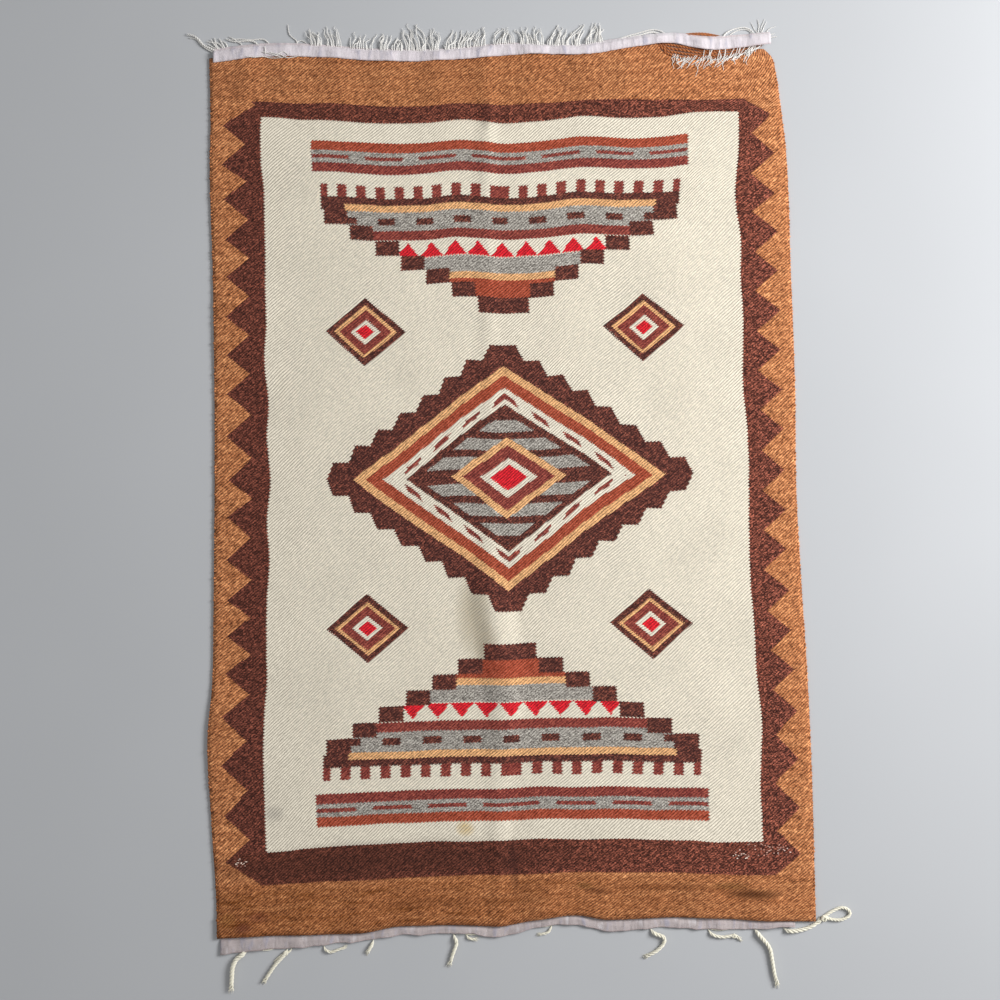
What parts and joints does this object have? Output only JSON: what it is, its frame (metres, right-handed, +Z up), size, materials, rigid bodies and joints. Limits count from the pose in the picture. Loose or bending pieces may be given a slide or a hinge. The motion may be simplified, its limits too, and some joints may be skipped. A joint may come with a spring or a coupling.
{
  "type": "wool rug",
  "caption": "Handwoven flat wool rug with a sawtooth border, taped ends, a soft middle crease, a frayed corner and loose warp fringe.",
  "frame": {"origin": "on the flat underside of the cloth, at the middle of the rug, where it lies on the floor", "axes": "+Y along the rug towards the fringed upper end, +X across it, +Z up through its thickness"},
  "size_m": [0.7333, 1.1022, 0.0074],
  "materials": {
    "wool_weave": "weft-faced wool twill, cream field with tan, brown, red and grey figures",
    "tan_wool": "loose handspun wool yarn",
    "binding_tape": "thin lavender-grey seam tape, slight sheen",
    "cotton_warp": "white twisted cotton ends",
    "warp_cord": "thick cream plied cord"
  },
  "bodies": {
    "root": {"wool_panel": "wool_weave", "top_tape": "binding_tape", "bottom_tape": "binding_tape", "top_fringe": "cotton_warp", "bottom_cords": "warp_cord", "loose_wefts": "tan_wool", "frayed_warps": "cotton_warp", "edge_weft": "tan_wool"}
  },
  "joints": []
}
